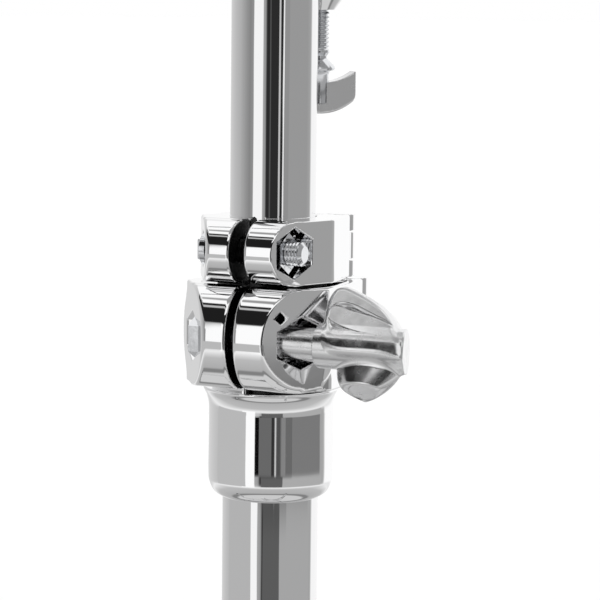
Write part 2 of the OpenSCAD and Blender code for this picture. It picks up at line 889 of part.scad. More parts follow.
// Basket

module at_hub() {
    rotate([0, 0, tilter_turn])
        translate([hub_offset, 0, 0])
            children();
}

module basket_hub() {
    color(chrome)
        at_hub()
            difference() {
                union() {
                    rotate_extrude($fn = 72)
                        polygon([[0, hub_nose_z], [4.9, hub_nose_z], [hub_r, hub_nose_z + hub_nose_h],
                            [hub_r, hub_flare_z], [hub_head_r - 3, hub_flare_z + hub_flare_h],
                            [hub_head_r, hub_flare_z + hub_flare_h + 2], [hub_head_r, hub_head_top - 1],
                            [hub_head_r - 1, hub_head_top], [0, hub_head_top]]);
                    translate([hub_disc_face - hub_offset, 0, tilter_z])
                        rotate([0, 90, 0])
                            cylinder(r = tilter_disc_r, h = 5);
                    translate([hub_disc_face - hub_offset + 5, 0, tilter_z])
                        rotate([0, 90, 0])
                            cylinder(r1 = tilter_disc_r, r2 = 11, h = 12);
                }
                translate([0, 0, hub_nose_z - over])
                    cylinder(r = spindle_r + running, h = hub_head_top - hub_nose_z + 2 * over);
                // Cavity for the spreader
                translate([0, 0, spreader_pocket_z])
                    cylinder(r = spreader_r + 0.5, h = hub_head_top - spreader_pocket_z + over);
                // Slots for the arm roots
                ring_of_three()
                    translate([spreader_r, -root_t / 2 - play, arm_pivot_z - 7.5])
                        cube([30, root_t + 2 * play, 30]);
                ring_of_three()
                    translate([arm_pivot_r, 0, arm_pivot_z])
                        bar_y(arm_pin_r, arm_pin_h);
                translate([hub_disc_face - hub_offset, 0, tilter_z])
                    bar_x(tilter_bolt_r, -1, hub_offset - hub_disc_face - spindle_r - 4);
            }
}

module arm_pivot_pins() {
    color(dark_chrome)
        at_hub()
            ring_of_three()
                translate([arm_pivot_r, 0, arm_pivot_z])
                    bar_y(arm_pin_r, arm_pin_h);
}

module basket_spindle() {
    color(dark_chrome)
        at_hub()
            union() {
                translate([0, 0, spindle_neck_z + 2])
                    cylinder(r = spindle_r, h = arm_pivot_z - 5.9 - spindle_neck_z - 2);
                translate([0, 0, spindle_neck_z])
                    cylinder(r1 = 2.9, r2 = spindle_r, h = 2);
                translate([0, 0, spindle_neck_z - 3])
                    cylinder(r = 5.6, h = 3);
                translate([0, 0, handle_z + 4])
                    cylinder(r = 3.6, h = spindle_neck_z - handle_z - 7);
                translate([0, 0, arm_pivot_z - 5.9])
                    cylinder(r = 3, h = 11.8);
            }
}

// Crescent thumb handle
module basket_handle() {
    color(chrome)
        at_hub()
            rotate([0, 0, -tilter_turn])
                difference() {
                    intersection() {
                        translate([0, 0, handle_z + 17.4])
                            bar_y(17.4, 5);
                        translate([-12.2, -4, handle_z - 1])
                            cube([24.4, 8, 14.6]);
                    }
                    translate([0, 0, handle_z + 29.1])
                        bar_y(19.8, 8);
                    translate([0, 0, handle_z + 4])
                        cylinder(r = 3.6, h = 10);
                }
}

// Grooved spool that carries the inner ends of the arms
module spreader() {
    color(chrome)
        at_hub()
            translate([0, 0, arm_pivot_z])
                rotate_extrude($fn = 72)
                    polygon([[3 + running, -5.6], [spreader_r - 0.5, -5.6], [spreader_r, -5.1],
                        [spreader_r, -groove_h / 2], [4.4, -groove_h / 2], [4.4, groove_h / 2],
                        [spreader_r, groove_h / 2], [spreader_r, 5.1], [spreader_r - 0.5, 5.6],
                        [3 + running, 5.6]]);
}

module spreader_screw() {
    color(dark_chrome)
        at_hub()
            translate([0, 0, arm_pivot_z + 5.9])
                difference() {
                    cylinder(r1 = 5.4, r2 = 4.6, h = 2.6);
                    translate([-6, -0.6, 1.6])
                        cube([12, 1.2, 2]);
                }
}

// Sloping rod, bend and upright end of an arm, in the XZ plane of its own radius.
// A thin collar joins each straight length to the bend.
module arm_line(radius, start, upright) {
    collar = 0.4;
    translate([arm_pivot_r, 0, 0])
        rotate([0, 90 - arm_slope, 0]) {
            translate([0, 0, start])
                cylinder(r = radius, h = arm_run - start - 0.6);
            translate([0, 0, arm_run - 2])
                cylinder(r = radius + collar, h = 3.2);
        }
    translate([arm_reach - bend_r, 0, arm_bend_z + bend_r * cos(arm_slope)]) {
        rotate([90, 0, 0])
            rotate([0, 0, arm_slope - 90])
                rotate_extrude(angle = 90 - arm_slope)
                    translate([bend_r, 0])
                        circle(r = radius);
        translate([bend_r, 0, -1.2])
            cylinder(r = radius + collar, h = 3.2);
        translate([bend_r, 0, 0.6])
            cylinder(r = radius, h = upright - 0.6);
    }
}

module at_arm(number) {
    at_hub()
        rotate([0, 0, 120 * (number - 1)])
            translate([0, 0, arm_pivot_z])
                children();
}

module arm(number) {
    color(chrome)
        at_arm(number)
            difference() {
                union() {
                    // Lever with a rounded end
                    translate([lever_reach, 0, 0])
                        bar_y(lever_end_r, root_t);
                    translate([lever_reach, -root_t / 2, -2.3])
                        cube([arm_pivot_r - lever_reach, root_t, 4.6]);
                    translate([arm_pivot_r, 0, 0])
                        bar_y(6, root_t);
                    translate([arm_pivot_r, -root_t / 2, 0])
                        rotate([0, -arm_slope, 0])
                            translate([0, 0, -4.5])
                                cube([root_reach, root_t, 9]);
                    arm_line(arm_d / 2, root_reach - 7, arm_upright);
                }
                translate([arm_pivot_r, 0, 0])
                    bar_y(arm_pin_r + running, arm_pin_h);
            }
}

// Rubber claw on the end of an arm, with a lip that holds the drum hoop
module arm_grip(number) {
    color(rubber)
        at_arm(number)
            difference() {
                union() {
                    arm_line(grip_r, arm_run - 20, arm_upright + 5);
                    translate([arm_reach - grip_lip, 0, arm_top + 1.5])
                        rotate([0, 90, 0])
                            cylinder(r = 3.2, h = grip_lip - 0.5);
                    translate([arm_reach - grip_lip, 0, arm_top + 1.5])
                        sphere(r = 3.2);
                }
                arm_line(arm_d / 2, root_reach - 7, arm_upright);
            }
}

lower_tube();
lower_tube_cap();
brace_hub();
brace_hub_screw();
brace_hub_pins();
leg_hub();
leg_hub_pins();
leg_hub_wing_bolt();
leg_left(1);  // leg_1_left
leg_right(1);  // leg_1_right
leg_left(2);  // leg_2_left
leg_right(2);  // leg_2_right
leg_left(3);  // leg_3_left
leg_right(3);  // leg_3_right
leg_rivets(1);  // leg_rivets_1
leg_rivets(2);  // leg_rivets_2
leg_rivets(3);  // leg_rivets_3
foot(1);  // foot_1
foot(2);  // foot_2
foot(3);  // foot_3
brace(1);  // brace_1
brace(2);  // brace_2
brace(3);  // brace_3
clamp_body();
clamp_door();
clamp_hinge_pin();
clamp_bush();
height_bolt();
height_wing_nut();
memory_lock_body();
memory_lock_door();
memory_lock_hinge_pin();
memory_lock_bolt();
memory_lock_nut();
upper_tube();
upper_tube_glide();
tilter_body();
tilter_washer();
tilter_bolt();
tilter_wing_nut();
basket_hub();
arm_pivot_pins();
basket_spindle();
basket_handle();
spreader();
spreader_screw();
arm(1);  // arm_1
arm(2);  // arm_2
arm(3);  // arm_3
arm_grip(1);  // arm_grip_1
arm_grip(2);  // arm_grip_2
arm_grip(3);  // arm_grip_3
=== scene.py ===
"""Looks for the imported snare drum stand: castings, wing nut, threads, finishes, studio and camera."""
import json
import math

import bpy
import numpy as np
import openvdb
from mathutils import Matrix, Vector


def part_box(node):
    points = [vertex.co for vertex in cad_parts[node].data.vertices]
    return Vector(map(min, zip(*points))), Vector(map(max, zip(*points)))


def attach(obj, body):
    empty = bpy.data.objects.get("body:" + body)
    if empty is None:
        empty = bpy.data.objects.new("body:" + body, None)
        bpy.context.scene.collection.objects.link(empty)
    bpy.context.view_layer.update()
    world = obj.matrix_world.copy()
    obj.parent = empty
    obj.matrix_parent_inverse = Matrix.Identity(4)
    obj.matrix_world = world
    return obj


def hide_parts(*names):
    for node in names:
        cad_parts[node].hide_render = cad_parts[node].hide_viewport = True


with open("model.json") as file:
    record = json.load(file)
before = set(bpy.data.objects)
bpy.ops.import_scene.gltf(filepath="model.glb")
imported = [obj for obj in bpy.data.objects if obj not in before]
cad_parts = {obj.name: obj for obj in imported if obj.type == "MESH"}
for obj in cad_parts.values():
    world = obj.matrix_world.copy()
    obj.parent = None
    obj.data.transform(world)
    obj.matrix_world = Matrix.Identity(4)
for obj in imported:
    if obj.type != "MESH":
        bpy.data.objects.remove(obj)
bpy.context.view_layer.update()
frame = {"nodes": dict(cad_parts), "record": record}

MM = 0.001
SLIT_TURN = math.radians(-26)
SLIT_AXES = Matrix.Rotation(SLIT_TURN, 3, "Z")


# Node helpers


def new_tree(owner):
    """Empties a node tree and gives it back."""
    owner.use_nodes = True
    owner.node_tree.nodes.clear()
    return owner.node_tree


def add(tree, kind, inputs=None, **settings):
    """Adds a node; an input is a value or the output socket that feeds it."""
    node = tree.nodes.new(kind)
    for key, value in settings.items():
        setattr(node, key, value)
    for key, value in (inputs or {}).items():
        if isinstance(value, bpy.types.NodeSocket):
            tree.links.new(value, node.inputs[key])
        else:
            node.inputs[key].default_value = value
    return node


def maths(tree, operation, a, b=0.0, c=0.0):
    return add(tree, "ShaderNodeMath", {0: a, 1: b, 2: c}, operation=operation).outputs[0]


def reach_along(tree, place, axis):
    """How far a place lies along an axis, in millimetres."""
    dot = add(tree, "ShaderNodeVectorMath", {0: place, 1: tuple(axis)}, operation="DOT_PRODUCT")
    return maths(tree, "MULTIPLY", dot.outputs["Value"], 1 / MM)


def smooth_step(tree, value, low, high):
    return add(
        tree, "ShaderNodeMapRange", {0: value, 1: low, 2: high, 3: 0.0, 4: 1.0},
        interpolation_type="SMOOTHSTEP").outputs[0]


def plateau(tree, value, low, high, soft):
    """One between two values and nothing outside them, with soft edges."""
    rise = smooth_step(tree, value, low - soft, low + soft)
    fall = smooth_step(tree, value, high - soft, high + soft)
    return maths(tree, "MULTIPLY", rise, maths(tree, "SUBTRACT", 1.0, fall))


def blend(tree, share, under, top):
    """Mix of two colours, each a value or the output socket that feeds it."""
    return add(tree, "ShaderNodeMix", {0: share, 6: under, 7: top}, data_type="RGBA").outputs[2]


def output(tree, kind, shader):
    tree.links.new(shader.outputs[0], add(tree, kind).inputs[0])


def ramp(tree, value, stops):
    """Ramp of greys; each stop is a place from 0 to 1 and a display level."""
    node = add(tree, "ShaderNodeValToRGB", {0: value})
    band = node.color_ramp
    while len(band.elements) > 1:
        band.elements.remove(band.elements[-1])
    band.elements[0].position = stops[0][0]
    band.elements[0].color = grey(stops[0][1])
    for place, level in stops[1:]:
        band.elements.new(place).color = grey(level)
    return node.outputs[0]


def grey(level):
    """Scene colour of a display level from 0 to 255."""
    value = level / 255
    value = value / 12.92 if value < 0.04045 else ((value + 0.055) / 1.055) ** 2.4
    return (value, value, value, 1)


# Materials


SLIT_EDGE = 0.3
SLIT_FRONT = (4, 6)
# Near-black colour painted as shade inside the slits
SLIT_PAINTED_SHADE = (0.02, 0.02, 0.02, 1)


def chrome(name, colour, roughness, wave, wave_scale, stretch=(1, 1, 1), slit=None):
    """Bright plate with faint waves and slightly uneven gloss.

    Between the two distances of a slit along the bolts, in front of the column, it is dull and painted near
    black: painted shade inside the slit.
    """
    material = bpy.data.materials.new(name)
    tree = new_tree(material)
    place = add(tree, "ShaderNodeTexCoord").outputs["Object"]
    scaled = add(tree, "ShaderNodeMapping", {"Vector": place, "Scale": stretch}).outputs[0]
    waves = add(tree, "ShaderNodeTexNoise", {"Vector": scaled, "Scale": wave_scale, "Detail": 2.0})
    gloss = add(tree, "ShaderNodeTexNoise", {"Vector": scaled, "Scale": 260.0, "Detail": 3.0})
    bump = add(tree, "ShaderNodeBump", {"Strength": wave, "Distance": 0.001, "Height": waves.outputs[0]})
    rough = add(
        tree, "ShaderNodeMapRange",
        {0: gloss.outputs[0], 1: 0.3, 2: 0.7, 3: roughness * 0.7, 4: roughness * 1.3}).outputs[0]
    shade = (*colour, 1)
    if slit:
        along = reach_along(tree, place, SLIT_AXES.col[0])
        ahead = reach_along(tree, place, -SLIT_AXES.col[1])
        inside = maths(
            tree, "MULTIPLY", plateau(tree, along, *slit, SLIT_EDGE), smooth_step(tree, ahead, *SLIT_FRONT))
        # Painted shade: the slit's surfaces are coloured near black where shade falls in the slit
        shade = blend(tree, inside, shade, SLIT_PAINTED_SHADE)
        rough = add(tree, "ShaderNodeMix", {0: inside, 2: rough, 3: 0.5}).outputs[0]
    shader = add(
        tree, "ShaderNodeBsdfPrincipled",
        {"Base Color": shade, "Metallic": 1.0, "Roughness": rough, "Normal": bump.outputs[0]})
    output(tree, "ShaderNodeOutputMaterial", shader)
    return material


def moulded(name, dark, light, roughness, grain_scale, depth):
    """Rubber or nylon with a fine moulded grain."""
    material = bpy.data.materials.new(name)
    tree = new_tree(material)
    place = add(tree, "ShaderNodeTexCoord").outputs["Object"]
    grain = add(tree, "ShaderNodeTexNoise", {"Vector": place, "Scale": grain_scale, "Detail": 4.0})
    blotch = add(tree, "ShaderNodeTexNoise", {"Vector": place, "Scale": 60.0, "Detail": 2.0})
    colour = blend(tree, blotch.outputs[0], (*dark, 1), (*light, 1))
    bump = add(tree, "ShaderNodeBump", {"Strength": 0.3, "Distance": depth, "Height": grain.outputs[0]})
    rough = add(tree, "ShaderNodeMapRange", {
        0: grain.outputs[0], 1: 0.3, 2: 0.7, 3: roughness - 0.08, 4: roughness + 0.08}).outputs[0]
    shader = add(
        tree, "ShaderNodeBsdfPrincipled",
        {"Base Color": colour, "Roughness": rough, "Normal": bump.outputs[0]})
    output(tree, "ShaderNodeOutputMaterial", shader)
    return material


BRIGHT = (0.9, 0.9, 0.905)
POLISHED = (0.97, 0.97, 0.975)
BRUSHED = (0.88, 0.88, 0.885)
ZINC = (0.8, 0.81, 0.83)

TUBE = chrome("tube_chrome", BRIGHT, 0.03, 0.02, 500.0, (1, 1, 0.02))
CAST = chrome("cast_chrome", POLISHED, 0.035, 0.012, 90.0)
# The slit ranges paint shade into the clamps' slits and onto the lock bolt where it lies in its slit
CLAMP = chrome("clamp_chrome", POLISHED, 0.035, 0.012, 90.0, slit=(0.5, 2.9))
LOCK_CAST = chrome("lock_chrome", POLISHED, 0.035, 0.012, 90.0, slit=(-1.1, 3.8))
SATIN = chrome("satin_chrome", BRUSHED, 0.22, 0.02, 120.0)
STEEL = chrome("plated_fastener", ZINC, 0.12, 0.03, 300.0)
LOCK_BOLT = chrome("lock_bolt_plate", ZINC, 0.12, 0.03, 300.0, slit=(-9, 6))
LEG = chrome("leg_chrome", BRIGHT, 0.05, 0.015, 60.0)
RUBBER = moulded("black_rubber", (0.018, 0.018, 0.019), (0.035, 0.035, 0.036), 0.62, 900.0, 0.0002)
NYLON = moulded("black_nylon", (0.012, 0.012, 0.013), (0.02, 0.02, 0.022), 0.42, 1500.0, 0.00005)

FINISHES = {
    "chrome_plate": CAST, "plated_steel": STEEL, "black_rubber": RUBBER, "black_nylon": NYLON}
TUBES = ("lower_tube", "upper_tube")
STRIPS = ("leg_1", "leg_2", "leg_3", "brace_1", "brace_2", "brace_3", "arm_1", "arm_2", "arm_3")


def finish_of(node, slot):
    if node in TUBES:
        return TUBE
    if slot == "chrome_plate" and node.startswith(STRIPS):
        return LEG
    return FINISHES[slot]


for part in frame["record"]["subparts"]:
    mesh_object = frame["nodes"][part["node"]]
    mesh_object.data.materials.clear()
    mesh_object.data.materials.append(finish_of(part["node"], part["material_slot"]))


# Forms from distance fields


def cut(a, b, radius=0.0):
    """Intersection of two fields, its edge rounded by a radius."""
    inner = np.minimum(np.maximum(a, b), -radius)
    return inner + np.hypot(np.maximum(a + radius, 0), np.maximum(b + radius, 0))


def join(a, b, radius=0.0):
    """Union of two fields, filleted by a radius."""
    return -cut(-a, -b, radius)


def outline(x, y, corners):
    """Signed distance to a closed outline."""
    near = np.full(np.broadcast(x, y).shape, 1e9)
    inside = np.zeros(near.shape, bool)
    for (ax, ay), (bx, by) in zip(corners, corners[1:] + corners[:1]):
        ex, ey = bx - ax, by - ay
        wx, wy = x - ax, y - ay
        t = np.clip((wx * ex + wy * ey) / (ex * ex + ey * ey), 0, 1)
        near = np.minimum(near, np.hypot(wx - ex * t, wy - ey * t))
        if ey != 0:
            crosses = (ay > y) != (by > y)
            inside ^= crosses & (wx < wy * ex / ey)
    return np.where(inside, -near, near)


def curve(points, steps=6, closed=True):
    """Smooth line through the points."""
    count = len(points)
    bends = range(count if closed else count - 1)
    line = []
    for i in bends:
        if closed:
            near = [np.array(points[(i + k) % count]) for k in (-1, 0, 1, 2)]
        else:
            near = [np.array(points[min(max(i + k, 0), count - 1)]) for k in (-1, 0, 1, 2)]
        before, a, b, after = near
        for t in np.arange(steps) / steps:
            line.append(tuple(0.5 * (
                2 * a + (b - before) * t + (2 * before - 5 * a + 4 * b - after) * t ** 2
                + (3 * a - before - 3 * b + after) * t ** 3)))
    return line if closed else line + [tuple(points[-1])]


def hexagon(a, b, across_flats):
    """Hexagon with corners up and down along b."""
    return np.maximum(np.abs(a), np.abs(b) * math.sqrt(3) / 2 + np.abs(a) / 2) - across_flats / 2


def oval(a, b, half_a, half_b):
    """Roughly the distance to an ellipse."""
    size = np.hypot(a / half_a, b / half_b) + 1e-6
    slope = np.hypot(a / half_a ** 2, b / half_b ** 2) / size + 1e-6
    return (size - 1) / slope


def rod(a, b, radius):
    return np.hypot(a, b) - radius


def between(a, low, high):
    return np.abs(a - (low + high) / 2) - (high - low) / 2


def field_mesh(name, field, low, high, step, turned, offset=(0, 0, 0)):
    """Object on the field's zero level; the field is in millimetres in its own turned axes."""
    low = np.array(low, float)
    axes = [np.arange(a, b + step, step) for a, b in zip(low, high)]
    x, y, z = np.meshgrid(*axes, indexing="ij", sparse=True)
    shape = tuple(len(a) for a in axes)
    values = np.broadcast_to(field(x, y, z), shape).astype(np.float32)
    grid = openvdb.FloatGrid(10.0)
    grid.copyFromArray(np.ascontiguousarray(np.clip(values, -9.0, 9.0)))
    points, triangles, quads = grid.convertToPolygons(isovalue=0.0, adaptivity=0.0)
    points = points.astype(float) * step + low

    def slope(p):
        reach = 0.02
        parts = []
        for i in range(3):
            d = np.zeros(3)
            d[i] = reach
            ahead, behind = p + d, p - d
            parts.append((field(*ahead.T) - field(*behind.T)) / (2 * reach))
        return np.stack(parts, axis=1)

    for _ in range(4):
        g = slope(points)
        size = np.maximum((g * g).sum(axis=1), 0.05)
        move = np.clip(field(*points.T) / size, -0.4 * step, 0.4 * step)
        points -= g * move[:, None]
    normals = slope(points)
    normals /= np.maximum(np.linalg.norm(normals, axis=1), 1e-9)[:, None]

    faces = quads.tolist() + triangles.tolist()
    sample = quads[:: max(1, len(quads) // 2000)]
    a, b, c = (points[sample[:, i]] for i in range(3))
    facing = (np.cross(b - a, c - a) * normals[sample[:, 0]]).sum()
    if facing < 0:
        faces = [f[::-1] for f in faces]
    spin = np.array(turned)
    points = (points @ spin.T + np.array(offset)) * MM
    mesh = bpy.data.meshes.new(name)
    mesh.from_pydata(points.tolist(), [], faces)
    mesh.shade_smooth()
    mesh.normals_split_custom_set_from_vertices((normals @ spin.T).tolist())
    return new_object(name, mesh)


def new_object(name, mesh):
    made = bpy.data.objects.new(name, mesh)
    bpy.context.scene.collection.objects.link(made)
    return made


def lathe_mesh(name, profile, sides=192):
    """Closed ring turned about Z from a closed profile of (radius, z) points in millimetres."""
    count = len(profile)
    verts, faces = [], []
    for i in range(sides):
        angle = 2 * math.pi * i / sides
        c, s = math.cos(angle), math.sin(angle)
        verts += [(r * c * MM, r * s * MM, z * MM) for r, z in profile]
        j = (i + 1) % sides
        for k in range(count):
            m = (k + 1) % count
            faces.append((i * count + k, j * count + k, j * count + m, i * count + m))
    mesh = bpy.data.meshes.new(name)
    mesh.from_pydata(verts, [], faces)
    mesh.shade_smooth()
    mesh.set_sharp_from_angle(angle=math.radians(35))
    return new_object(name, mesh)


def screw_mesh(name, profile, thread, turned, offset, sides=36):
    """Turned part along Z; the profile is (z, radius) points, the thread its start, end, pitch and depth."""
    start, end, pitch, depth = thread
    heights = sorted({z for z, _ in profile} | {float(z) for z in np.arange(start, end, pitch / 8)})
    places, radii = zip(*profile)
    verts, faces = [], []
    spin = np.array(turned)
    for z in heights:
        radius = np.interp(z, places, radii)
        fade = min(1, max(0, min(z - start, end - z) / pitch))
        for i in range(sides):
            phase = (z / pitch - i / sides) % 1
            r = radius - depth * fade * min(1, 1.25 * abs(2 * phase - 1))
            angle = 2 * math.pi * i / sides
            verts.append(spin @ (r * math.cos(angle), r * math.sin(angle), z) + np.array(offset))
    for k in range(len(heights) - 1):
        for i in range(sides):
            j = (i + 1) % sides
            faces.append((k * sides + i, k * sides + j, (k + 1) * sides + j, (k + 1) * sides + i))
    faces.append(tuple(range(sides))[::-1])
    faces.append(tuple((len(heights) - 1) * sides + i for i in range(sides)))
    mesh = bpy.data.meshes.new(name)
    mesh.from_pydata([tuple(v * MM) for v in verts], [], faces)
    mesh.shade_smooth()
    mesh.set_sharp_from_angle(angle=math.radians(30))
    return new_object(name, mesh)


def place(made, body, node, material, slot):
    """Gives a piece its finish, body and the CAD node that it replaces."""
    made.data.materials.append(material)
    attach(made, body)
    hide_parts(node)


# Hinged clamps, in slit coordinates: X along the bolts, the slit towards -Y

GRID = 0.4
FINE_GRID = GRID * 0.8
KEY_GRID = 0.3
NUT_FLATS = 13.0
NOTCH_AHEAD, NOTCH_ABOVE, NOTCH_DEEPER = 5.7, 7.6, 3
KNUCKLE_GAP = 0.3
MAIN = dict(
    z=321.0, h=30.1, ring=18.6, bolt=20.5, mid=335.65, depth=10.8, slit=(0.8, 2.6), slit_edge=1.3,
    left=(15.8, 39.5), right=(20.1, 35.0), low_rim=1.6,
    hinge=(17.8, 18.7), knuckle=4.5, knuckle_h=8.5, bore=14.2, door_bore=14.5,
    side=[(24.9, -14.0), (24.9, -4), (24.2, 6), (22.6, 15)])
LOCK = dict(
    z=351.5, h=18.7, ring=17.0, bolt=17.5, mid=361.1, depth=8.8, slit=(-0.8, 3.5), slit_edge=1.1,
    left=(13.9, 32.0), right=(16.1, 21.0), low_rim=0.3,
    hinge=(14.9, 16.2), knuckle=4.0, knuckle_h=5.0, bore=12.7, door_bore=13.0,
    side=[(19.6, -10), (21.6, -6), (21.4, 0), (19.9, 9), (18.6, 14.4)])


def blank(x, y, z, c):
    """Closed clamp before the slit: ring, web and oval lug round the bolt."""
    mid_z = c["z"] + c["h"] / 2
    slab = np.abs(z - mid_z) - c["h"] / 2
    hx, hy = c["hinge"]
    plan = outline(x, y, [
        (-c["ring"] - 3, -c["bolt"]), (c["right"][0] + 10, -c["bolt"]), *c["side"],
        (hx, hy), (0, 0), (-c["ring"] + 0.6, -4), (-c["ring"] - 3, -8.5)])
    reach = math.hypot(hx, hy)
    along, across = (x * hx + y * hy) / reach, (y * hx - x * hy) / reach
    arm = np.maximum(np.abs(across) - c["knuckle"] + 0.4, between(along, 0, reach))
    plan = join(join(rod(x, y, c["ring"]), plan, 1.5), arm, 1.0)
    web = cut(plan, slab, 0.6)
    depth, rise = y + c["bolt"], z - c["mid"]
    lug = np.maximum(oval(depth, z - mid_z, c["depth"], c["h"] / 2), x - c["side"][0][0])
    body = join(web, cut(lug, slab, 0.3), 0.8)
    ends = []
    for side, (end, slant) in ((-1, c["left"]), (1, c["right"])):
        t = math.radians(slant)
        ends.append((side * x - end) * math.cos(t) - depth * math.sin(t))
    low = np.clip((-rise - 3) / 8, 0, 1)
    return cut(cut(body, ends[0], 0.9), ends[1], 0.5 + c["low_rim"] * low)


def hinge_line(x, y, c, gap):
    """Side of the line from the column axis to the hinge: negative on the door's side."""
    hx, hy = c["hinge"]
    return ((y - gap) * hx - x * hy) / math.hypot(hx, hy)


def knuckle(x, y, z, c, low, high, radius):
    hx, hy = c["hinge"]
    return np.maximum(rod(x - hx, y - hy, radius), between(z, low, high))


def door(c, pocket_floor, bolt_hole, notch=False):
    """Field of the swinging half, with the nut's pocket and, where asked for, a diamond notch beside it."""
    z0, z1 = c["z"], c["z"] + c["h"]
    k = c["knuckle_h"]

    def field(x, y, z):
        body = blank(x, y, z, c)
        body = cut(body, c["slit"][1] - x, c["slit_edge"])
        body = cut(body, hinge_line(x, y, c, 0.0), 0.5)
        low_end, high_end = z0 + k + KNUCKLE_GAP, z1 - k - KNUCKLE_GAP
        body = join(body, knuckle(x, y, z, c, low_end, high_end, c["knuckle"]), 0.5)
        for low, high in ((z0 - 2, low_end), (high_end, z1 + 2)):
            body = cut(body, -knuckle(x, y, z, c, low, high, c["knuckle"] + KNUCKLE_GAP), 0.3)
        body = cut(body, c["door_bore"] - np.hypot(x, y), 0.4)
        depth, rise = y + c["bolt"], z - c["mid"]
        body = cut(body, -np.maximum(hexagon(depth, rise, NUT_FLATS), pocket_floor - x), 0.35)
        body = cut(body, -np.maximum(rod(depth, rise, bolt_hole), -x), 0.3)
        if notch:
            ahead, above = depth + NOTCH_AHEAD, rise - NOTCH_ABOVE
            a, b = (ahead + above) * 0.707, (ahead - above) * 0.707
            key = np.maximum(np.abs(a) - 1.25, np.abs(b) - 1.35)
            body = cut(body, -np.maximum(key, pocket_floor - NOTCH_DEEPER - x), 0.25)
        return body

    return field


def fixed_half(c, pocket_floor, head_radius=None, neck=None):
    """Field of the half that stays, with a round or hexagonal pocket and, where asked for, a neck below."""
    z0, z1 = c["z"], c["z"] + c["h"]
    k = c["knuckle_h"]

    def field(x, y, z):
        body = blank(x, y, z, c)
        if neck:
            body = join(body, np.maximum(rod(x, y, neck), between(z, z0 - 2, z0 + 2)))
        body = cut(body, -np.maximum(c["slit"][0] - x, hinge_line(x, y, c, 0.6)), 0.5)
        body = cut(body, np.where(y < 0, x - c["slit"][0], -9.0), c["slit_edge"])
        for low, high in ((z0, z0 + k), (z1 - k, z1)):
            body = join(body, knuckle(x, y, z, c, low, high, c["knuckle"]), 0.3)
        gap = knuckle(x, y, z, c, z0 + k, z1 - k, c["knuckle"] + KNUCKLE_GAP)
        body = cut(body, -gap, 0.3)
        body = cut(body, c["bore"] - np.hypot(x, y), 0.4)
        depth, rise = y + c["bolt"], z - c["mid"]
        pocket = rod(depth, rise, head_radius) if head_radius else hexagon(depth, rise, NUT_FLATS)
        body = cut(body, -np.maximum(pocket, pocket_floor + x), 0.35)
        body = cut(body, -np.maximum(rod(depth, rise, 3.6), x - 3), 0.3)
        return body

    return field


for body, node, name, c, finish, field in (
        ("clamp_gate", "clamp_door", "clamp_door_cast", MAIN, CLAMP, door(MAIN, 14.0, 5.2, True)),
        ("memory_lock_gate", "memory_lock_door", "memory_lock_door_cast", LOCK, LOCK_CAST,
         door(LOCK, 10.0, 4.2)),
        ("mast", "memory_lock_body", "memory_lock_cast", LOCK, LOCK_CAST, fixed_half(LOCK, 11.0, 5.3)),
        ("column", "clamp_body", "clamp_cast", MAIN, CLAMP, fixed_half(MAIN, 9.0, neck=17.6))):
    if body in ("mast", "column"):
        left, right, below = -c["ring"] - 8, c["hinge"][0] + 6, 2.6
    else:
        left, right, below = c["slit"][1] - 1, 27, 1
    low = (left, -c["bolt"] - 12, c["z"] - below)
    high = (right, c["hinge"][1] + 6, c["z"] + c["h"] + 1)
    place(field_mesh(name, field, low, high, GRID, SLIT_AXES), body, node, finish, "chrome_plate")


# Sleeve under the clamp: flared rim, straight wall and rounded lower edge

SLEEVE_TOP = 319.5
SLEEVE_Z = 286.5
SLEEVE_R = 18.6
LOWER_TUBE_R = 14.3


def sleeve():
    """Turned sleeve; each point is its radius past the wall and its height above or below an end."""
    low_part = [(-3.4, 0.2), (-1.6, 1.5), (-0.35, 4), (0, 7.5), (-0.1, 20)]
    high_part = [(-0.1, -6.6), (0.1, -4.6), (0.7, -2.4), (1.5, -0.8), (1.5, -0.25), (1.1, 0), (-1, 0)]
    rim = [(SLEEVE_R + out, SLEEVE_TOP + up) for out, up in high_part]
    wall = [(LOWER_TUBE_R, SLEEVE_Z)] + [(SLEEVE_R + out, SLEEVE_Z + up) for out, up in low_part] + rim[:1]
    wall, rim = curve(wall, 8, False), curve(rim, 6, False)
    made = lathe_mesh("clamp_sleeve_cast", wall[:-1] + rim + [(LOWER_TUBE_R, SLEEVE_TOP)])
    place(made, "column", "clamp_body", CAST, "chrome_plate")


sleeve()


# Wing nut, in wing coordinates: X along its bolt, Z along the wings, front towards -Y

WING_TURN = math.radians(30)
WING_TAPER = 0.23
STUB_TURN = math.radians(-7)
STUB_MIDDLE = 43.6
TIP_MIDDLE = 41.3
TIP_REACH = 13
TIP_SLANT = math.radians(21)
SHAFT_R = 4.85
SHAFT_START = 9.6
BARREL_R = 6.5
BARREL_START = 26
BARREL_END = 52.7
END_SLANT = math.radians(15)
THREAD_BORE_R = 3.05
THREAD_BORE_END = 44.5
BOLT_CENTRE = SLIT_AXES @ Vector((0, -MAIN["bolt"], 0)) + Vector((0, 0, MAIN["mid"]))
WING_AXES = SLIT_AXES @ Matrix.Rotation(-WING_TURN, 3, "X")
WING_OUTLINE = curve([
    (29.2, -2.0), (27.6, 3.0), (26.7, 7.2), (26.1, 11.0), (26.1, 14.4), (27.0, 17.0), (28.9, 18.2),
    (31.4, 18.2), (37.4, 15.8), (42.2, 13.4), (46.0, 10.8), (48.8, 7.8), (51.0, 4.2), (53.4, 0),
    (54.5, -5.0), (46.0, -4.0), (34.0, -4.0)])
SUNK_OUTLINE = curve([
    (31.4, 1.1), (29.3, 5.0), (27.8, 8.4), (28.0, 10.8), (30.3, 12.4), (34.9, 12.1), (42.0, 9.3),
    (47.0, 7.2), (50.0, 5.0), (51.0, 2.5), (48.7, 0.9), (43.6, 1.5), (37.5, 1.2)])
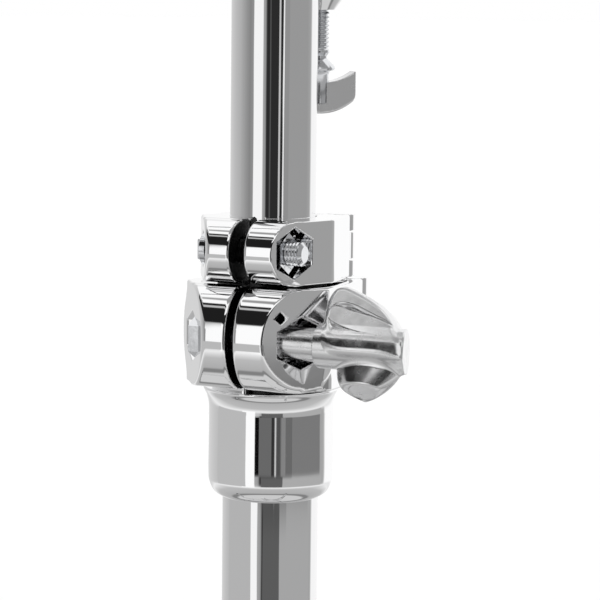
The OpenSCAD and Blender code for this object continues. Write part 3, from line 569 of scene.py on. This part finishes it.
DROP_OUTLINE = curve([
    (28.2, 7.6), (28.2, 9.6), (29.6, 10.7), (33.4, 9.7), (41.7, 7.9), (46.9, 6.1), (50.5, 4.4),
    (51.0, 1.0), (48.0, 1.3), (43.4, 2.3), (36.8, 3.6), (32.0, 5.0), (29.7, 6.1)])


def ease(share):
    """Smooth rise from 0 to 1."""
    share = np.clip(share, 0, 1)
    return share * share * (3 - 2 * share)


def wing_nut(x, y, z):
    """Shaft, barrel, long wing with a raised drop in a sunk field, and a short flat-tipped wing."""
    shaft = np.maximum(rod(y, z, SHAFT_R), between(x, SHAFT_START, BARREL_START + 1))
    barrel = np.maximum(rod(y, z, BARREL_R), between(x, BARREL_START, 56))
    thick = BARREL_R + 0.1 - WING_TAPER * np.clip(z, 0, 20)
    sunk = outline(x, z, SUNK_OUTLINE)
    drop = outline(x, z, DROP_OUTLINE)
    floor = ease(-sunk / 1.3) * (0.6 + 0.9 * ease((z - 2) / 4))
    floor = np.minimum(floor, 1.5 * ease(drop / 1.1))
    plate = cut(outline(x, z, WING_OUTLINE), (np.abs(y) - thick) * 0.95, 2.2)
    plate = cut(plate, (np.abs(y) - thick + floor) * 0.7, 0.3)
    c, s = math.cos(STUB_TURN), math.sin(STUB_TURN)
    across, down = y * c - z * s, -(y * s + z * c)
    length = 10.1 * np.sqrt(np.clip(1 - (np.maximum(down - 4, 0) / 10.6) ** 2, 0.02, 1))
    middle = x - STUB_MIDDLE + (STUB_MIDDLE - TIP_MIDDLE) * down / TIP_REACH
    half_thick = 3.6 + 0.9 * np.clip(down / TIP_REACH, 0, 1)
    stub = cut(oval(middle, across, length, half_thick) * 0.8, -down)
    slant = down * math.cos(TIP_SLANT) - across * math.sin(TIP_SLANT) - 12.1
    face = across * math.cos(TIP_SLANT) + down * math.sin(TIP_SLANT) - 4.7
    stub = cut(stub, slant, 0.5)
    stub = cut(stub, -np.maximum(oval(x - TIP_MIDDLE, face, 3.9, 3.6), -slant - 0.4), 0.15)
    body = join(join(barrel, plate, 0.8), stub, 0.8)
    away = y * math.cos(WING_TURN) + z * math.sin(WING_TURN)
    end = (x - BARREL_END) * math.cos(END_SLANT) + away * math.sin(END_SLANT)
    body = join(cut(body, end, 0.5), shaft, 0.3)
    return cut(body, -np.maximum(rod(y, z, THREAD_BORE_R), x - THREAD_BORE_END), 0.2)


place(
    field_mesh("wing_nut_cast", wing_nut, (8, -9.5, -17), (55, 8, 20), FINE_GRID, WING_AXES, BOLT_CENTRE),
    "height_wing", "height_wing_nut", SATIN, "chrome_plate")


# Memory lock's bolt: threaded shank, round head and square key end

LOCK_BOLT_CENTRE = SLIT_AXES @ Vector((0, -LOCK["bolt"], 0)) + Vector((0, 0, LOCK["mid"]))
ALONG_BOLT = SLIT_AXES @ Matrix.Rotation(math.radians(90), 3, "Y")


def lock_bolt():
    """Shank turned from (height, radius) points along the bolt, and the square that a drum key turns."""
    shank = screw_mesh(
        "memory_lock_bolt_shank",
        [(-13.2, 4.6), (-12.8, 5), (-11.01, 5), (-11, 3.5), (18.4, 3.5), (19.2, 2.4)],
        (-10.5, 18.4, 1.0, 0.45), ALONG_BOLT, LOCK_BOLT_CENTRE)
    place(shank, "memory_lock_key_bolt", "memory_lock_bolt", LOCK_BOLT, "plated_steel")

    def key(x, y, z):
        return cut(cut(np.abs(y) - 3, np.abs(z) - 3, 0.4), between(x, -14.3, -13), 0.3)

    head = field_mesh(
        "memory_lock_bolt_key", key, (-15.2, -4, -4), (-12, 4, 4), KEY_GRID, SLIT_AXES, LOCK_BOLT_CENTRE)
    place(head, "memory_lock_key_bolt", "memory_lock_bolt", STEEL, "plated_steel")


lock_bolt()


# Basket's spindle with its rolled thread, and the crescent handle

SPINDLE_LOW, SPINDLE_HIGH = (Vector(corner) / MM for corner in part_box("basket_spindle"))
HUB_X, HUB_Y = (SPINDLE_LOW.x + SPINDLE_HIGH.x) / 2, (SPINDLE_LOW.y + SPINDLE_HIGH.y) / 2
HANDLE_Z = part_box("basket_handle")[0][2] / MM
NECK_Z = HANDLE_Z + 17
THREAD_TOP = SPINDLE_HIGH.z - 11.8
HANDLE_TURN = math.radians(20)
STEM_R = 3.1
THREAD_R = 3.3


def spindle():
    """Rod from the handle up: plain stem, collar, neck, thread and plain end."""
    stem = [(HANDLE_Z + 4, STEM_R), (NECK_Z - 4.4, STEM_R)]
    collar = [(-3.4, 3.5), (-3, 4.7), (-2.4, 5.2), (-1.6, 4.8), (0.6, 2.6), (1.4, 2.6), (2.4, THREAD_R)]
    end = [(-0.01, THREAD_R), (0, 3), (11.3, 3), (11.8, 2.6)]
    made = screw_mesh(
        "basket_spindle_rod",
        stem + [(NECK_Z + z, r) for z, r in collar] + [(THREAD_TOP + z, r) for z, r in end],
        (NECK_Z + 2.6, THREAD_TOP - 0.4, 1.25, 0.6), Matrix.Identity(3), (HUB_X, HUB_Y, 0))
    place(made, "spindle", "basket_spindle", STEEL, "plated_steel")


def handle():
    """Crescent with thin ends, thickest at the spindle."""

    def field(x, y, z):
        shape = cut(rod(x, z - 17.4, 17.6), between(x, -11.6, 11.6), 1.2)
        shape = cut(shape, 19.8 - np.hypot(x, z - 29.1), 0.6)
        shape = cut(shape, z - 13.4, 0.5)
        body = cut(shape, np.abs(y) - 3.0 + 0.05 * np.abs(x), 0.7)
        return cut(body, -np.maximum(rod(x, y, STEM_R), 3 - z), 0.2)

    turned = Matrix.Rotation(HANDLE_TURN, 3, "Z")
    foot = (HUB_X, HUB_Y, HANDLE_Z + 1)
    made = field_mesh(
        "basket_handle_cast", field, (-14, -4, -1), (14, 4, 15), FINE_GRID, turned, foot)
    place(made, "spindle", "basket_handle", SATIN, "chrome_plate")


spindle()
handle()


# Studio


def studio_world():
    """White to the camera; metal sees a softbox, a black flag, grey walls and the white backdrop."""
    world = bpy.data.worlds.new("studio")
    bpy.context.scene.world = world
    tree = new_tree(world)
    ray = add(tree, "ShaderNodeTexCoord").outputs["Generated"]
    parts = add(tree, "ShaderNodeSeparateXYZ", {0: ray})
    turn = maths(tree, "ARCTAN2", parts.outputs[0], maths(tree, "MULTIPLY", parts.outputs[1], -1.0))
    azimuth = maths(tree, "MULTIPLY", turn, 180 / math.pi)
    height = maths(tree, "MULTIPLY", maths(tree, "ARCSINE", parts.outputs[2]), 180 / math.pi)
    around = maths(tree, "MULTIPLY_ADD", azimuth, 1 / 360, 0.5)

    def window(a0, a1, h0, h1, soft=1.0):
        """Mask between two azimuths and two heights, in degrees."""
        return maths(
            tree, "MULTIPLY", plateau(tree, azimuth, a0, a1, soft), plateau(tree, height, h0, h1, soft))

    walls = ramp(tree, around, [((a + 180) / 360, level) for a, level in (
        (-180, 255), (-160, 215), (-100, 182), (-66, 138), (-57, 150), (-26, 165), (-22, 150),
        (-19, 45), (40, 45), (41, 158), (100, 158), (116, 170), (122, 255), (180, 255))])
    # Floor seen low down
    steepness = maths(tree, "MULTIPLY", height, -1 / 90)
    floor = ramp(tree, steepness, [(below / 90, level) for below, level in (
        (14, 200), (22, 238), (27, 212), (32, 187), (48, 174), (51, 130), (55, 130), (58, 205), (90, 200))])
    low_down = maths(tree, "SUBTRACT", 1.0, smooth_step(tree, height, -22, -13))
    walls = blend(tree, low_down, walls, floor)
    ceiling = smooth_step(tree, height, 57, 60)
    back_light = maths(
        tree, "MULTIPLY", smooth_step(tree, parts.outputs[1], 0.02, 0.1),
        smooth_step(tree, height, 36, 44))
    for level, mask in (
            # Foot of the flag and of the wall beside it, as the sleeve and then the lower tube see them
            (105, window(-20, 41, -11.4, -8, 0.6)),
            (122, window(41, 104, -11.4, -8.3, 0.6)),
            (95, window(-17, 23, -19, -11.4)),
            (172, window(23, 110, -19, -11.4)),
            # Openings in the flag
            (200, window(13.5, 18, -8, 60, 0.5)),
            (245, window(24.5, 28.5, -8, 60, 0.5)),
            (150, window(29, 42, -8, 60, 0.5)),
            (85, window(-10.5, -7.5, -8, 60, 0.5)),
            # Stripes that only the sleeve sees
            (10, window(-29, -21, -11.2, -8.2, 0.5)),
            (50, window(2, 7, -11.2, -8.2, 0.5)),
            (200, window(8, 10.5, -11.2, -8.2, 0.5)),
            (78, window(12, 18, -11.2, -8.2, 0.5)),
            (132, window(20, 28, -11.2, -8.2, 0.5)),
            # Softbox, and the grey that narrows it low down
            (255, window(-55, -29, -22, 19)),
            (186, window(-115, -46.5, -19, -8.3, 0.6)),
            # Black above the softbox, the ceiling, lit lines between them and two light panels
            (30, window(-115, 25, 20, 56)),
            (150, ceiling),
            (190, window(-130, 25, 44.5, 48)),
            (255, window(-130, 25, 52, 58)),
            (255, window(-42, 20, 36, 60)),
            (255, back_light)):
        walls = blend(tree, mask, walls, grey(level))
    paths = add(tree, "ShaderNodeLightPath")
    plain = blend(tree, paths.outputs["Is Diffuse Ray"], walls, (0.95, 0.95, 0.95, 1))
    seen = blend(tree, paths.outputs["Is Camera Ray"], plain, (1, 1, 1, 1))
    shade = add(tree, "ShaderNodeBackground", {"Color": seen, "Strength": 1.0})
    output(tree, "ShaderNodeOutputWorld", shade)


FLOOR_RADIUS = 30.0
FLOOR_Z = -0.0005
FLOOR_SIDES = 96
FLOOR_GREY = (0.86, 0.86, 0.86, 1)
FLOOR_GLOW = 0.22


def floor_disc():
    """Pale floor that takes the shadow; a little glow brings it to white for the camera alone."""
    verts = []
    for i in range(FLOOR_SIDES):
        a = 2 * math.pi * i / FLOOR_SIDES
        verts.append((FLOOR_RADIUS * math.cos(a), FLOOR_RADIUS * math.sin(a), FLOOR_Z))
    mesh = bpy.data.meshes.new("floor")
    mesh.from_pydata(verts, [], [tuple(range(FLOOR_SIDES))])
    made = new_object("floor", mesh)
    material = bpy.data.materials.new("floor")
    tree = new_tree(material)
    paths = add(tree, "ShaderNodeLightPath")
    diffuse = add(tree, "ShaderNodeBsdfDiffuse", {"Color": FLOOR_GREY})
    strength = maths(tree, "MULTIPLY", paths.outputs["Is Camera Ray"], FLOOR_GLOW)
    glow = add(tree, "ShaderNodeEmission", {"Color": (1, 1, 1, 1), "Strength": strength})
    both = add(tree, "ShaderNodeAddShader", {0: diffuse.outputs[0], 1: glow.outputs[0]})
    output(tree, "ShaderNodeOutputMaterial", both)
    mesh.materials.append(material)
    made.visible_glossy = False


studio_world()
floor_disc()


# Camera

PICTURE = 600
SENSOR = 36.0
FOCAL_PIXELS = 2600.0
PIXELS_PER_MM = 3.37
PITCH = math.radians(7.0)
ROLL = math.radians(0.62)
TARGET = Vector((8.3, 0.0, 345.0)) * MM

lens_data = bpy.data.cameras.new("camera")
lens_data.sensor_width = SENSOR
lens_data.lens = SENSOR * FOCAL_PIXELS / PICTURE
lens_data.clip_start = 0.05
lens_data.clip_end = 100.0
camera = bpy.data.objects.new("camera", lens_data)
bpy.context.scene.collection.objects.link(camera)
ahead = Vector((0.0, math.cos(PITCH), -math.sin(PITCH)))
camera.location = TARGET - ahead * (FOCAL_PIXELS / PIXELS_PER_MM * MM)
camera.rotation_euler = (
    ahead.to_track_quat("-Z", "Y").to_matrix() @ Matrix.Rotation(ROLL, 3, "Z")).to_euler()
bpy.context.scene.camera = camera
bpy.context.scene.view_settings.view_transform = "Standard"
